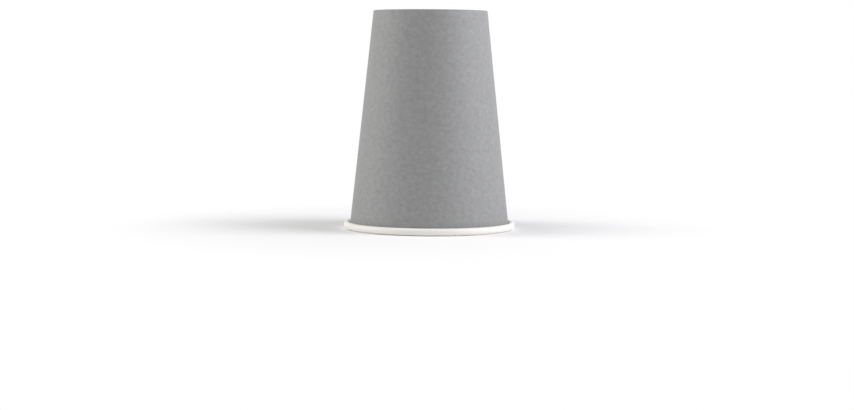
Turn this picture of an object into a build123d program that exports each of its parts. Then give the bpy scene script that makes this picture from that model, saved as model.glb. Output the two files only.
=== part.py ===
from build123d import *

import math
import os
from collections import namedtuple

# A disposable paper cup, standing mouth down: a wrapped side wall with a rolled rim, and a pressed base

# Overall sizes, in millimetres
RIM_DIAMETER = 90.0
FOOT_DIAMETER = 59.5
CUP_HEIGHT = 114.0

# Paperboard
WALL_BOARD = 0.35
BASE_BOARD = 0.30

# Rolled rim: its section, its gap to the wall, and the turn that tucks the cut edge inside
ROLL_WIDTH = 3.6
ROLL_HEIGHT = 3.8
ROLL_GAP = 0.10
TUCK_RADIUS = 0.9
TUCK_TURN = 100.0

# Foot: the wall folds inwards round the skirt of the base
RECESS_DEPTH = 6.0
HEM_HEIGHT = 5.0
FOLD_INNER_RADIUS = 0.05
SKIRT_GAP = 0.15
BASE_CORNER_RADIUS = 0.5

# Crimp that presses the hem on to the skirt
CRIMP_COUNT = 72
CRIMP_DEPTH = 0.10
CRIMP_WIDTH = 0.9
CRIMP_MARGIN = 0.5

# Side seam, at the back of the cup: the outer end of the blank climbs over the inner end and lies on it
SEAM_DIRECTION = 90.0
SEAM_OVERLAP = 7.0
SEAM_RAMP = 2.2
SEAM_END_GAP = 0.4

Run = namedtuple("Run", "length")
Bend = namedtuple("Bend", "radius turn")
Section = namedtuple("Section", "start heading moves")


def direction(degrees):
    """Unit vector at this angle in the half plane of the section, radius along X and height along Y."""
    return Vector(math.cos(math.radians(degrees)), math.sin(math.radians(degrees)))


# Places on the section, which follow from the sizes above
RIM_RADIUS = RIM_DIAMETER / 2
FOOT_RADIUS = FOOT_DIAMETER / 2
CROWN_RADIUS = (ROLL_WIDTH - WALL_BOARD) / 2
CROWN_CENTRE = Vector(RIM_RADIUS - CROWN_RADIUS - WALL_BOARD / 2, CROWN_RADIUS + WALL_BOARD / 2)


def wall_slope():
    """Angle between the wall and the axis: the outer face runs from the foot to a tangent of the roll."""
    across = CROWN_CENTRE.X - FOOT_RADIUS
    along = CUP_HEIGHT - CROWN_CENTRE.Y
    to_tangent = math.asin((CROWN_RADIUS - WALL_BOARD / 2) / math.hypot(across, along))
    return math.degrees(math.atan2(across, along) - to_tangent)


SLOPE = wall_slope()
DOWN_WALL = SLOPE - 90
UP_WALL = SLOPE + 90
OUTWARD = direction(SLOPE)
COS_SLOPE = math.cos(math.radians(SLOPE))
SIN_SLOPE = math.sin(math.radians(SLOPE))

# Distance of the middle of the wall's board from the origin, measured square to the wall
WALL_MIDDLE = OUTWARD.dot(Vector(FOOT_RADIUS, CUP_HEIGHT)) - WALL_BOARD / 2


def radius_on(distance, height):
    """Radius at a height of the line that lies this far from the origin, square to the wall."""
    return (distance - height * SIN_SLOPE) / COS_SLOPE


def travel(start, heading, moves, offset=0.0):
    """Edges of one face of a bent board: its middle line moved to the left by the offset."""
    point = start + direction(heading + 90) * offset
    edges = []
    for move in moves:
        if isinstance(move, Run):
            edge = Line(point, point + direction(heading) * move.length)
        else:
            radius = move.radius - offset * math.copysign(1, move.turn)
            edge = JernArc(point, direction(heading), radius, move.turn)
            heading += move.turn
        edges.append(edge)
        point = edge @ 1
    return edges


def board_section(section, near, far):
    """Face of the board between two offsets to the left of a middle line, in the plane of X and Z."""
    near_edges = travel(*section, near)
    far_edges = travel(*section, far)
    ends = [
        Line(near_edges[0] @ 0, far_edges[0] @ 0),
        Line(near_edges[-1] @ 1, far_edges[-1] @ 1),
    ]
    return Plane.XZ * make_face(near_edges + far_edges + ends)


def roll_moves():
    """The rolled rim, from the end of the wall: crown, upright side, return to the wall and tucked edge."""
    around = 1 + COS_SLOPE
    room = ROLL_HEIGHT - WALL_BOARD - CROWN_RADIUS
    return_radius = CROWN_RADIUS * around + room * SIN_SLOPE - WALL_BOARD - ROLL_GAP
    return_radius /= around + SIN_SLOPE
    return [
        Bend(CROWN_RADIUS, 180 - SLOPE),
        Run(room - return_radius),
        Bend(return_radius, 180 + SLOPE),
        Bend(TUCK_RADIUS, TUCK_TURN),
    ]


def wall_section():
    """Middle line of the side wall's board, from the cut edge of the hem to the cut edge in the roll."""
    fold_radius = FOLD_INNER_RADIUS + WALL_BOARD / 2
    fold_height = CUP_HEIGHT - FOLD_INNER_RADIUS - WALL_BOARD
    outer_fold = Vector(radius_on(WALL_MIDDLE - fold_radius, fold_height), fold_height)
    land = (BASE_BOARD - 2 * FOLD_INNER_RADIUS) / COS_SLOPE
    hem_top = outer_fold - Vector(land, 0) - OUTWARD * fold_radius
    hem_run = (hem_top.Y - (CUP_HEIGHT - HEM_HEIGHT)) / COS_SLOPE
    wall_top = outer_fold + OUTWARD * fold_radius
    wall_end = CROWN_CENTRE - OUTWARD * CROWN_RADIUS
    moves = [
        Run(hem_run),
        Bend(fold_radius, -UP_WALL),
        Run(land),
        Bend(fold_radius, DOWN_WALL),
        Run((wall_end - wall_top).length),
        *roll_moves(),
    ]
    return Section(hem_top - direction(UP_WALL) * hem_run, UP_WALL, moves)


def seam_face(near, far):
    """Face along the wall between two offsets from its middle, from just under the fold to behind the roll."""
    top = CUP_HEIGHT - FOLD_INNER_RADIUS - WALL_BOARD - SEAM_END_GAP
    bottom = ROLL_HEIGHT - SEAM_END_GAP
    start = Vector(radius_on(WALL_MIDDLE, top), top)
    return board_section(Section(start, DOWN_WALL, [Run((top - bottom) / COS_SLOPE)]), near, far)


def seamed(board):
    """The wrapped board with its seam: a second layer outside, and the inner end's cut edge inside."""
    half = WALL_BOARD / 2
    middle_radius = (RIM_RADIUS + FOOT_RADIUS) / 2
    lap = math.degrees(SEAM_OVERLAP / middle_radius)
    back = Rot(Z=-math.degrees(SEAM_RAMP / middle_radius))
    layer = revolve(seam_face(0, 3 * half), Axis.Z, lap)
    climb = loft([back * seam_face(0, half), seam_face(0, 3 * half)], ruled=True)
    step = loft([back * seam_face(-2 * half, -half), seam_face(-2 * half, half)], ruled=True)
    place = Rot(Z=SEAM_DIRECTION - lap / 2)
    return board + place * layer + place * climb - place * step


def crimp_tools():
    """Rollers that press the ring of grooves into the hem, one for each groove."""
    radius = (CRIMP_WIDTH**2 / 4 + CRIMP_DEPTH**2) / (2 * CRIMP_DEPTH)
    hem = travel(*wall_section(), WALL_BOARD / 2)[0]
    start = hem @ 0 + direction(UP_WALL) * CRIMP_MARGIN - OUTWARD * (radius - CRIMP_DEPTH)
    place = Pos(start.X, 0, start.Y) * Rot(Y=-SLOPE)
    length = hem.length - 2 * CRIMP_MARGIN
    roller = place * Cylinder(radius, length, align=(Align.CENTER, Align.CENTER, Align.MIN))
    return [Rot(Z=360 * n / CRIMP_COUNT) * roller for n in range(CRIMP_COUNT)]


def side_wall():
    """One blank of board: wrapped into a cone, seamed, rolled at the mouth and hemmed at the foot."""
    board = revolve(board_section(wall_section(), -WALL_BOARD / 2, WALL_BOARD / 2), Axis.Z)
    return seamed(board) - crimp_tools()


def base_disc():
    """A round blank with its edge turned to a skirt, which the hem holds against the wall."""
    bend = BASE_CORNER_RADIUS + BASE_BOARD / 2
    middle = CUP_HEIGHT - RECESS_DEPTH - BASE_BOARD / 2
    skirt_middle = WALL_MIDDLE - (WALL_BOARD + BASE_BOARD) / 2
    corner = Vector(radius_on(skirt_middle - bend, middle + bend), middle + bend)
    skirt_start = corner + OUTWARD * bend
    skirt_end = CUP_HEIGHT - WALL_BOARD - SKIRT_GAP
    moves = [
        Run(corner.X),
        Bend(bend, UP_WALL),
        Run((skirt_end - skirt_start.Y) / COS_SLOPE),
    ]
    section = Section(Vector(0, middle), 0, moves)
    return revolve(board_section(section, -BASE_BOARD / 2, BASE_BOARD / 2), Axis.Z)


os.makedirs("parts", exist_ok=True)
export_step(side_wall(), "parts/side_wall.step")
export_step(base_disc(), "parts/base_disc.step")
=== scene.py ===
import math

import bpy
import numpy as np
from mathutils import Matrix, Vector


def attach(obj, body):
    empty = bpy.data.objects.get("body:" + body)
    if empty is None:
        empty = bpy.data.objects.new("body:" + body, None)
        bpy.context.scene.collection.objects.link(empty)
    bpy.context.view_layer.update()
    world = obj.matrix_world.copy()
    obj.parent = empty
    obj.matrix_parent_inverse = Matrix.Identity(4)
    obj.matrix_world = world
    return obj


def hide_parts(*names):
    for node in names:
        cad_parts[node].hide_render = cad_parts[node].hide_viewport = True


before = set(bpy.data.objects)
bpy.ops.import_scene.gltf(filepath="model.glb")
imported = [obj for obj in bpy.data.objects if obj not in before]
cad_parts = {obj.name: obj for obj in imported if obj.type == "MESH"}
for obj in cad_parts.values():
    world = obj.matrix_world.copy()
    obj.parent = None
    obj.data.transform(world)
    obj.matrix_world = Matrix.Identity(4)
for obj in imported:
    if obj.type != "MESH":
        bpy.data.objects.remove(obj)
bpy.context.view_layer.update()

# The cup's lengths are in millimetres until its meshes are made. Angles are in degrees, phases in radians
MM = 0.001

# Sizes of the cup, which stands mouth down: the same as in the solids
RIM_RADIUS = 45.0
FOOT_RADIUS = 29.75
CUP_HEIGHT = 114.0
WALL_BOARD = 0.35
BASE_BOARD = 0.30
ROLL_WIDTH = 3.6
ROLL_HEIGHT = 3.8
ROLL_GAP = 0.10
TUCK_RADIUS = 0.9
TUCK_TURN = 100.0
RECESS_DEPTH = 6.0
HEM_HEIGHT = 5.0
FOLD_INNER_RADIUS = 0.05
SKIRT_GAP = 0.15
BASE_CORNER_RADIUS = 0.5
CRIMP_COUNT = 72
CRIMP_DEPTH = 0.10
CRIMP_WIDTH = 0.9
CRIMP_MARGIN = 0.5
SEAM_DIRECTION = 90.0
SEAM_OVERLAP = 7.0
SEAM_RAMP = 2.2

# The run-out at each end of a crimp groove, and the skirt's play on each side between wall and hem
CRIMP_RUN_OUT = 0.35
SKIRT_PLAY = 0.02

# The seam: the gap between its two layers, and the angle over which the roll and the fold make room for it
SEAM_CLEARANCE = 0.012
SEAM_EASE = 9.0
LAYER = WALL_BOARD + SEAM_CLEARANCE

# Unevenness of the rim: how far its outline and its height wander, and the counts of their slow waves
RIM_OUT_OF_ROUND = 0.035
OUTLINE_WAVES = (2, 3, 4)
RIM_LIFT = 0.03
LIFT_WAVES = (2, 3, 5, 8)

# The rim's lift fades within this height, and the size of each slow wave is drawn from this range
LIFT_REACH = 12.0
WAVE_SIZES = (0.6, 1.2)

# Waves of the wall: depth, number round the cup, lean and swell in radians a millimetre, and phase
WALL_WAVE = 0.05
WALL_WAVE_COUNT = 5
WALL_WAVE_LEAN = 0.045
WALL_WAVE_SWELL = 0.06
WALL_WAVE_PHASE = 1.0

# The wall has no waves this near the rim and this near the foot, and they grow over the length that follows
CALM_BY_RIM = 6.0
CALM_BY_FOOT = 10.0
CALM_FADE = 15.0

# The base: its sag, and the small pleats where the flat blank gathers into the skirt
BASE_SAG = 0.16
PLEAT_DEPTH = 0.04
PLEAT_COUNT = 88
PLEAT_REACH = 1.6

# How the pleats' spacing and size change round the base, as waves of (size, number round, phase)
PLEAT_WANDER = ((2.0, 3, 0.0), (1.3, 7, 1.0))
PLEAT_MIDDLE_SIZE = 0.6
PLEAT_SWELL = ((0.4, 11, 0.5),)

# Steps round the cup: no step beside the seam's inner end is shorter than this part of a whole one
STEPS_A_CRIMP = 8
STEPS_ACROSS_LAP = 18
LEAST_STEP = 1 / 3
BASE_STEPS = 720

# Steps along the side wall's section
GROOVE_STEPS = 2
INNER_FOLD_STEPS = 6
OUTER_FOLD_STEPS = 5
WALL_STEPS = 18
CROWN_STEPS = 18
RETURN_STEPS = 16
TUCK_STEPS = 6

# Steps along the base's section
FLAT_STEPS = 14
PLEAT_STEPS = 4
CORNER_STEPS = 8
SKIRT_STEPS = 3

# The crimp presses the points of the side wall's section that lie between its two run-outs
FIRST_PRESSED = 2
PRESSED_POINTS = slice(FIRST_PRESSED, FIRST_PRESSED + GROOVE_STEPS + 1)

# Edges that turn by more than this are shaded as sharp
SHARP_TURN = 50.0

# The floor in metres: half its width, and the distances from the cup's axis over which it clears to white
FLOOR_REACH = 40.0
SHADOW_FADES_FROM = 0.05
SHADOW_FADES_TO = 0.18
FLOOR_WHITE = 0.94

WHITE = (1.0, 1.0, 1.0)

# Sockets of a colour mix node, which shares its socket names with the other kinds of mix
MIX_FACTOR = 0
MIX_FIRST = 6
MIX_SECOND = 7
MIX_RESULT = 2


# Section of the cup, in the half plane of radius and height

def direction(degrees):
    """Unit vector at this angle."""
    return np.array([math.cos(math.radians(degrees)), math.sin(math.radians(degrees))])


CROWN_RADIUS = (ROLL_WIDTH - WALL_BOARD) / 2
CROWN_CENTRE = np.array([RIM_RADIUS - CROWN_RADIUS - WALL_BOARD / 2, CROWN_RADIUS + WALL_BOARD / 2])


def wall_slope():
    """Angle between the wall and the axis: the outer face runs from the foot to a tangent of the roll."""
    across = CROWN_CENTRE[0] - FOOT_RADIUS
    along = CUP_HEIGHT - CROWN_CENTRE[1]
    to_tangent = math.asin((CROWN_RADIUS - WALL_BOARD / 2) / math.hypot(across, along))
    return math.degrees(math.atan2(across, along) - to_tangent)


SLOPE = wall_slope()
DOWN_WALL = SLOPE - 90
UP_WALL = SLOPE + 90
OUTWARD = direction(SLOPE)
COS_SLOPE = math.cos(math.radians(SLOPE))
SIN_SLOPE = math.sin(math.radians(SLOPE))

# Distance of the middle of the wall's board from the origin, measured square to the wall
WALL_MIDDLE = OUTWARD @ np.array([FOOT_RADIUS, CUP_HEIGHT]) - WALL_BOARD / 2


def radius_on(distance, height):
    """Radius at a height of the line that lies this far from the origin, square to the wall."""
    return (distance - height * SIN_SLOPE) / COS_SLOPE


def roll_moves(gap):
    """The rolled rim as (length or radius, turn, steps): crown, upright side, return and tucked edge."""
    around = 1 + COS_SLOPE
    room = ROLL_HEIGHT - WALL_BOARD - CROWN_RADIUS
    back = (CROWN_RADIUS * around + room * SIN_SLOPE - WALL_BOARD - gap) / (around + SIN_SLOPE)
    return [
        (CROWN_RADIUS, 180 - SLOPE, CROWN_STEPS),
        (room - back, 0, 1),
        (back, 180 + SLOPE, RETURN_STEPS),
        (TUCK_RADIUS, TUCK_TURN, TUCK_STEPS),
    ]


def wall_moves(room):
    """The side wall's start and moves, from the hem's cut edge to the one in the roll.

    The room is what the fold and the roll leave for a layer of the seam that goes over them.
    """
    fold = FOLD_INNER_RADIUS + WALL_BOARD / 2
    height = CUP_HEIGHT - room - FOLD_INNER_RADIUS - WALL_BOARD
    outer = np.array([radius_on(WALL_MIDDLE - fold, height), height])
    land = (BASE_BOARD + 2 * SKIRT_PLAY - 2 * FOLD_INNER_RADIUS) / COS_SLOPE
    hem_top = outer - np.array([land, 0]) - OUTWARD * fold
    hem = (hem_top[1] - (CUP_HEIGHT - HEM_HEIGHT)) / COS_SLOPE
    straight = CROWN_CENTRE - OUTWARD * CROWN_RADIUS - (outer + OUTWARD * fold)
    moves = [
        (CRIMP_MARGIN, 0, 1),
        (CRIMP_RUN_OUT, 0, 1),
        (hem - 2 * CRIMP_MARGIN - 2 * CRIMP_RUN_OUT, 0, GROOVE_STEPS),
        (CRIMP_RUN_OUT, 0, 1),
        (CRIMP_MARGIN, 0, 1),
        (fold, -UP_WALL, INNER_FOLD_STEPS),
        (land, 0, 1),
        (fold, DOWN_WALL, OUTER_FOLD_STEPS),
        (float(np.hypot(*straight)), 0, WALL_STEPS),
        *roll_moves(ROLL_GAP + room),
    ]
    return hem_top - direction(UP_WALL) * hem, moves


def sample(heading, start, moves):
    """Points of a board's middle line, and the unit vector to its left at each."""
    point = np.array(start, float)
    points, headings = [point], [heading]
    for size, turn, steps in moves:
        for step in range(1, steps + 1):
            if turn == 0:
                way = heading
                here = point + direction(heading) * size * step / steps
            else:
                side = math.copysign(90, turn)
                way = heading + turn * step / steps
                here = point + (direction(heading + side) - direction(way + side)) * size
            points.append(here)
            headings.append(way)
        point, heading = here, way
    return np.array(points), np.array([direction(way + 90) for way in headings])


# Meshes

def smooth(x, low, high):
    """A soft step from 0 at low to 1 at high."""
    t = np.clip((x - low) / (high - low), 0, 1)
    return t * t * (3 - 2 * t)


def turned(section, angle):
    """Points of a section, given in radius and height, at this angle round the axis."""
    radius, height = section[..., 0], section[..., 1]
    turn = math.radians(angle)
    return np.stack([radius * math.cos(turn), radius * math.sin(turn), height], -1)


def placed(name, data):
    """An object of the scene with this mesh, lamp or camera."""
    obj = bpy.data.objects.new(name, data)
    bpy.context.scene.collection.objects.link(obj)
    return obj


def grid_faces(numbers):
    """Faces between neighbouring columns of point numbers: a triangle where two corners are one point."""
    faces = []
    for here, there in zip(numbers[:-1].tolist(), numbers[1:].tolist()):
        for row in range(len(here) - 1):
            corners = (here[row], here[row + 1], there[row + 1], there[row])
            faces.append(tuple(dict.fromkeys(corners)))
    return faces


def sheet_solid(name, back, front, sheet, materials):
    """A closed solid of board from the points of its two sides.

    The sheet's faces hold point numbers, anticlockwise as seen from the front. The materials are those of
    the front, of the back and of the cut edge.
    """
    count = len(back)
    edges = dict.fromkeys((a, b) for face in sheet for a, b in zip(face, face[1:] + face[:1]))
    cut = [(a, b) for a, b in edges if (b, a) not in edges]
    faces = [tuple(point + count for point in face) for face in sheet]
    faces += [tuple(reversed(face)) for face in sheet]
    faces += [(b + count, a + count, a, b) for a, b in cut]
    mesh = bpy.data.meshes.new(name)
    mesh.from_pydata((np.vstack([back, front]) * MM).tolist(), [], faces)
    for material in materials:
        mesh.materials.append(material)
    mesh.polygons.foreach_set("material_index", [0] * len(sheet) + [1] * len(sheet) + [2] * len(cut))
    mesh.polygons.foreach_set("use_smooth", [True] * len(faces))
    mesh.update()
    mesh.validate()
    mesh.set_sharp_from_angle(angle=math.radians(SHARP_TURN))
    return placed(name, mesh)


# Materials

def colour(red, green, blue):
    """Linear colour from an sRGB one out of 255."""
    def channel(value):
        value /= 255
        return value / 12.92 if value <= 0.04045 else ((value + 0.055) / 1.055) ** 2.4
    return (channel(red), channel(green), channel(blue), 1.0)


def node(tree, kind, **values):
    """A new node, with these values on its sockets or else as its settings."""
    made = tree.nodes.new(kind)
    for key, value in values.items():
        if key in made.inputs:
            made.inputs[key].default_value = value
        else:
            setattr(made, key, value)
    return made


def spread(tree, value, low, high, **settings):
    """The value from low to high, as 0 to 1."""
    ranged = node(tree, "ShaderNodeMapRange", **{"From Min": low, "From Max": high}, **settings)
    tree.links.new(value, ranged.inputs["Value"])
    return ranged.outputs["Result"]


def noise(tree, place, scale, detail, roughness):
    """Noise over the object's own coordinates."""
    made = node(tree, "ShaderNodeTexNoise", Scale=scale, Detail=detail, Roughness=roughness)
    tree.links.new(place.outputs["Object"], made.inputs["Vector"])
    return made.outputs["Fac"]


def board_material(name, base, mottle, roughness, relief, coat=0.0):
    """Paperboard: cloudy formation at a few millimetres, and a fine fibre relief."""
    material = bpy.data.materials.new(name)
    material.use_nodes = True
    tree = material.node_tree
    shader = tree.nodes["Principled BSDF"]
    finish = {
        "Roughness": roughness,
        "Specular IOR Level": 0.35,
        "Coat Weight": coat,
        "Coat Roughness": 0.25,
    }
    for socket, value in finish.items():
        shader.inputs[socket].default_value = value
    place = node(tree, "ShaderNodeTexCoord")
    clouds = noise(tree, place, scale=440.0, detail=5.0, roughness=0.8)
    fibres = noise(tree, place, scale=2600.0, detail=3.0, roughness=0.65)
    blend = node(tree, "ShaderNodeMix", data_type="RGBA")
    blend.inputs[MIX_FIRST].default_value = [c * (1 - mottle) for c in base[:3]] + [1.0]
    blend.inputs[MIX_SECOND].default_value = [min(1.0, c * (1 + mottle)) for c in base[:3]] + [1.0]
    tree.links.new(spread(tree, clouds, low=0.2, high=0.8), blend.inputs[MIX_FACTOR])
    tree.links.new(blend.outputs[MIX_RESULT], shader.inputs["Base Color"])
    bump = node(tree, "ShaderNodeBump", Strength=relief, Distance=0.06 * MM)
    tree.links.new(fibres, bump.inputs["Height"])
    tree.links.new(bump.outputs["Normal"], shader.inputs["Normal"])
    return material


GREY_PRINT = colour(147.0, 147.4, 147.2)
COATED_WHITE = colour(239, 237, 231)
PLAIN_WHITE = colour(236, 233, 225)
CUT_WHITE = colour(226, 219, 205)

printed = board_material("printed_board", GREY_PRINT, mottle=0.22, roughness=0.62, relief=0.30)
coated = board_material("coated_board", COATED_WHITE, mottle=0.012, roughness=0.42, relief=0.15, coat=0.12)
uncoated = board_material("uncoated_board", PLAIN_WHITE, mottle=0.02, roughness=0.75, relief=0.30)
cut_edge = board_material("cut_edge", CUT_WHITE, mottle=0.03, roughness=0.85, relief=0.50)


# The side wall: one sheet of board wrapped a little over one turn

def wrapped(length):
    """Degrees that a length of board takes round the cup, halfway up."""
    return math.degrees(length / ((RIM_RADIUS + FOOT_RADIUS) / 2))


LAP = wrapped(SEAM_OVERLAP)
RAMP = wrapped(SEAM_RAMP)
INNER_END = SEAM_DIRECTION - LAP / 2


def wrap_angles():
    """Angles of the sheet's columns: its inner end, once round in even steps, and on over the lap."""
    step = 360 / (CRIMP_COUNT * STEPS_A_CRIMP)
    lowest = math.ceil(INNER_END / step + LEAST_STEP)
    highest = math.floor((INNER_END + 360) / step - LEAST_STEP)
    once_round = np.arange(lowest, highest + 1) * step
    over_lap = INNER_END + 360 + np.linspace(0, LAP, STEPS_ACROSS_LAP)
    return np.concatenate([[INNER_END], once_round, over_lap])


def seam_climb(angles):
    """How far the sheet's outer end stands out, where it climbs on to its inner end."""
    return LAYER * smooth(angles, INNER_END + 360 - RAMP, INNER_END + 360)


def seam_room(angles):
    """Room that the fold and the roll leave round the seam, for a layer that goes over them."""
    from_seam = np.abs((angles - SEAM_DIRECTION + 180) % 360 - 180)
    return LAYER * (1 - smooth(from_seam, LAP / 2 + RAMP, LAP / 2 + RAMP + SEAM_EASE))


def slow_noise(angles, counts, seed):
    """A gentle wobble round the cup, within about 1 either way."""
    draw = np.random.default_rng(seed)
    total = np.zeros_like(angles)
    for count in counts:
        phase = draw.uniform(0, 2 * math.pi)
        size = draw.uniform(*WAVE_SIZES)
        total += np.sin(count * np.radians(angles) + phase) / len(counts) * size
    return total


def make_uneven(points, angle, inward, lift):
    """Faint unevenness of the wall and of the roll, always inwards or upwards."""
    height = points[:, 1]
    near_rim = 1 - height / CUP_HEIGHT
    round_cup = np.sin(np.radians(angle * WALL_WAVE_COUNT) + height * WALL_WAVE_LEAN)
    wave = 0.5 + 0.5 * round_cup * np.sin(height * WALL_WAVE_SWELL + WALL_WAVE_PHASE)
    clear = np.minimum(height - CALM_BY_RIM, CUP_HEIGHT - CALM_BY_FOOT - height)
    free = np.clip(clear / CALM_FADE, 0, 1)
    points[:, 0] -= inward * near_rim ** 2 + WALL_WAVE * wave * free
    points[:, 1] += lift * np.clip(1 - height / LIFT_REACH, 0, 1)


def crimp_press(angle):
    """How deep the hem's ring of grooves is pressed at this angle."""
    from_groove = (angle / (360 / CRIMP_COUNT) + 0.5) % 1 - 0.5
    pitch = 2 * math.pi * FOOT_RADIUS / CRIMP_COUNT
    across = from_groove * pitch / (CRIMP_WIDTH / 2)
    return CRIMP_DEPTH * max(0.0, 1 - across ** 2)


def build_side_wall():
    """The wall with its hem, seam and roll: its front is the printed side, its back the coated one."""
    angles = wrap_angles()
    climb, room = seam_climb(angles), seam_room(angles)
    inward = RIM_OUT_OF_ROUND * (1 + slow_noise(angles, OUTLINE_WAVES, seed=3))
    lift = RIM_LIFT * (1 + slow_noise(angles, LIFT_WAVES, seed=4))
    back, front = [], []
    for column, angle in enumerate(angles):
        points, normals = sample(UP_WALL, *wall_moves(room[column]))
        make_uneven(points, angle, inward[column], lift[column])
        press = np.zeros(len(points))
        press[PRESSED_POINTS] = crimp_press(angle)
        outer = climb[column] + WALL_BOARD / 2 - press
        back.append(turned(points + normals * (climb[column] - WALL_BOARD / 2), angle))
        front.append(turned(points + normals * outer[:, None], angle))
    columns, rows = len(angles), len(back[0])
    sheet = grid_faces(np.arange(columns * rows).reshape(columns, rows))
    materials = [printed, coated, cut_edge]
    return sheet_solid("side_wall_board", np.vstack(back), np.vstack(front), sheet, materials)


# The base: a disc with its edge turned to a skirt

def base_section():
    """The base's middle line from the axis to the skirt's edge, its normals, and where it is pleated."""
    bend = BASE_CORNER_RADIUS + BASE_BOARD / 2
    middle = CUP_HEIGHT - RECESS_DEPTH - BASE_BOARD / 2
    skirt_middle = WALL_MIDDLE - (WALL_BOARD + BASE_BOARD) / 2 - SKIRT_PLAY
    flat = radius_on(skirt_middle - bend, middle + bend)
    skirt_start = middle + bend + OUTWARD[1] * bend
    skirt = (CUP_HEIGHT - WALL_BOARD - LAYER - SKIRT_GAP - skirt_start) / COS_SLOPE
    moves = [
        (flat - PLEAT_REACH, 0, FLAT_STEPS),
        (PLEAT_REACH, 0, PLEAT_STEPS),
        (bend, UP_WALL, CORNER_STEPS),
        (skirt, 0, SKIRT_STEPS),
    ]
    points, normals = sample(0.0, (0.0, middle), moves)
    reach = np.clip(points[:, 0] / flat, 0, 1)
    points[:, 1] -= BASE_SAG * (1 - reach ** 2) ** 2
    pleated = smooth(points[:, 0], flat - PLEAT_REACH, flat)
    pleated *= 1 - smooth(points[:, 1], skirt_start, CUP_HEIGHT - HEM_HEIGHT)
    return points, normals, pleated


def waves(turn, parts):
    """Height at this turn, in radians, of waves given as (size, number round, phase)."""
    return sum(size * math.sin(count * turn + phase) for size, count, phase in parts)


def pleat_height(angle):
    """Small folds, from 0 to 1, whose spacing and size change round the base."""
    turn = math.radians(angle)
    size = PLEAT_MIDDLE_SIZE + waves(turn, PLEAT_SWELL)
    return size * max(0.0, math.sin(PLEAT_COUNT * turn + waves(turn, PLEAT_WANDER))) ** 2


def build_base():
    """The base: its columns share the point on the axis, its front looks up and its back into the cup."""
    points, normals, pleated = base_section()
    numbers = np.zeros((BASE_STEPS + 1, len(points)), int)
    back, front = [], []
    for column in range(BASE_STEPS):
        angle = 360 * column / BASE_STEPS
        pleat = PLEAT_DEPTH * pleat_height(angle) * pleated
        first = 0 if column == 0 else 1
        for row in range(first, len(points)):
            numbers[column, row] = len(back)
            back.append(turned(points[row] + normals[row] * (pleat[row] - BASE_BOARD / 2), angle))
            front.append(turned(points[row] + normals[row] * (pleat[row] + BASE_BOARD / 2), angle))
    numbers[BASE_STEPS] = numbers[0]
    return sheet_solid("base_board", back, front, grid_faces(numbers), [uncoated, coated, cut_edge])


wall = build_side_wall()
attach(wall, "root")
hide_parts("side_wall")

base = build_base()
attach(base, "root")
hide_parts("base_disc")


# Floor, surroundings, light and camera

def shown_rays(tree):
    """One for the rays that show a background: straight to the camera, mirrored, or through glass."""
    rays = node(tree, "ShaderNodeLightPath")
    seen = rays.outputs["Is Camera Ray"]
    for kind in ("Is Glossy Ray", "Is Transmission Ray"):
        either = node(tree, "ShaderNodeMath", operation="MAXIMUM")
        tree.links.new(seen, either.inputs[0])
        tree.links.new(rays.outputs[kind], either.inputs[1])
        seen = either.outputs[0]
    return seen


def mixed(tree, factor, first, second):
    """The first shader where the factor is 0, and the second where it is 1."""
    mix = node(tree, "ShaderNodeMixShader")
    tree.links.new(factor, mix.inputs[0])
    tree.links.new(first.outputs[0], mix.inputs[1])
    tree.links.new(second.outputs[0], mix.inputs[2])
    return mix


def floor_material():
    """White paper sweep: near the cup it shows the cup's shadow, and further off it is plain white."""
    material = bpy.data.materials.new("sweep")
    material.use_nodes = True
    tree = material.node_tree
    tree.nodes.clear()
    output = node(tree, "ShaderNodeOutputMaterial")
    paper = node(tree, "ShaderNodeBsdfDiffuse", Color=(FLOOR_WHITE, FLOOR_WHITE, FLOOR_WHITE, 1.0))
    white = node(tree, "ShaderNodeEmission", Color=(*WHITE, 1.0), Strength=1.0)
    place = node(tree, "ShaderNodeTexCoord")
    radius = node(tree, "ShaderNodeVectorMath", operation="LENGTH")
    tree.links.new(place.outputs["Object"], radius.inputs[0])
    away = spread(tree, radius.outputs["Value"], SHADOW_FADES_FROM, SHADOW_FADES_TO,
                  interpolation_type="SMOOTHSTEP")
    final = mixed(tree, shown_rays(tree), paper, mixed(tree, away, paper, white))
    tree.links.new(final.outputs[0], output.inputs["Surface"])
    return material


def build_floor():
    """A wide level floor, which is no part of the cup."""
    corners = [(x * FLOOR_REACH, y * FLOOR_REACH, 0) for x, y in ((-1, -1), (1, -1), (1, 1), (-1, 1))]
    mesh = bpy.data.meshes.new("floor")
    mesh.from_pydata(corners, [], [(0, 1, 2, 3)])
    mesh.materials.append(floor_material())
    placed("floor", mesh)


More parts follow.
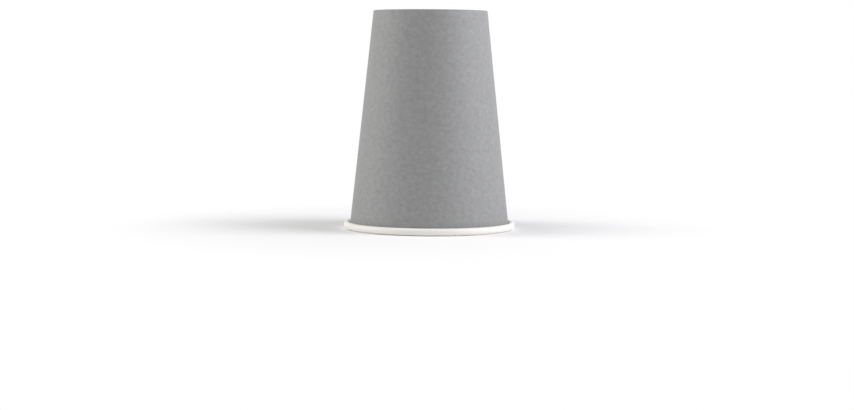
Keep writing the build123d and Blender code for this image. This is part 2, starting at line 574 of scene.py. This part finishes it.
def build_world(strength):
    """Even pale surroundings, which show as plain white."""
    world = bpy.data.worlds.new("surroundings")
    bpy.context.scene.world = world
    world.use_nodes = True
    tree = world.node_tree
    tree.nodes.clear()
    output = node(tree, "ShaderNodeOutputWorld")
    light = node(tree, "ShaderNodeBackground", Color=(*WHITE, 1.0), Strength=strength)
    white = node(tree, "ShaderNodeBackground", Color=(*WHITE, 1.0), Strength=1.0)
    final = mixed(tree, shown_rays(tree), light, white)
    tree.links.new(final.outputs[0], output.inputs["Surface"])


def soft_light(name, azimuth, distance, height, size, power, tint=WHITE):
    """Square softbox aimed at the middle of the cup.

    The azimuth goes from the camera's side round to the right. Lengths are in metres, and the distance is
    that from the cup's axis.
    """
    lamp = bpy.data.lights.new(name, "AREA")
    lamp.shape = "SQUARE"
    lamp.size = size
    lamp.energy = power
    lamp.color = tint
    obj = placed(name, lamp)
    angle = math.radians(azimuth)
    obj.location = (distance * math.sin(angle), -distance * math.cos(angle), height)
    aim = Vector((0, 0, CUP_HEIGHT * MM / 2)) - obj.location
    obj.rotation_euler = aim.to_track_quat("-Z", "Y").to_euler()


def build_camera(distance, height, pitch, roll, yaw, lens):
    """Camera in front of the cup, looking a little down: its distance and height are in metres."""
    yaw, pitch, roll = (math.radians(angle) for angle in (yaw, pitch, roll))
    ahead = Vector((math.sin(yaw), math.cos(yaw), 0))
    right = Vector((math.cos(yaw), -math.sin(yaw), 0))
    up = Vector((0, 0, 1))
    look = ahead * math.cos(pitch) - up * math.sin(pitch)
    above = up * math.cos(pitch) + ahead * math.sin(pitch)
    x = right * math.cos(roll) + above * math.sin(roll)
    y = above * math.cos(roll) - right * math.sin(roll)
    camera = bpy.data.cameras.new("camera")
    camera.sensor_width = 36.0
    camera.lens = lens
    camera.clip_start = 0.01
    camera.clip_end = 200.0
    obj = placed("camera", camera)
    turn = Matrix((x, y, -look)).transposed().to_4x4()
    obj.matrix_world = Matrix.Translation((0, -distance, height)) @ turn
    bpy.context.scene.camera = obj


build_floor()
build_world(strength=0.30)
soft_light("right", azimuth=78, distance=0.80, height=0.50, size=0.6, power=7.5, tint=(0.962, 0.96, 1.0))
soft_light("left", azimuth=-90, distance=1.20, height=0.45, size=0.7, power=7.8, tint=(1.0, 0.99, 0.965))
soft_light("top", azimuth=-76, distance=0.62, height=1.35, size=0.8, power=4.5)
build_camera(distance=0.94692, height=0.088565, pitch=4.607, roll=0.384, yaw=-0.072, lens=76.066)
bpy.context.scene.view_settings.view_transform = "Standard"
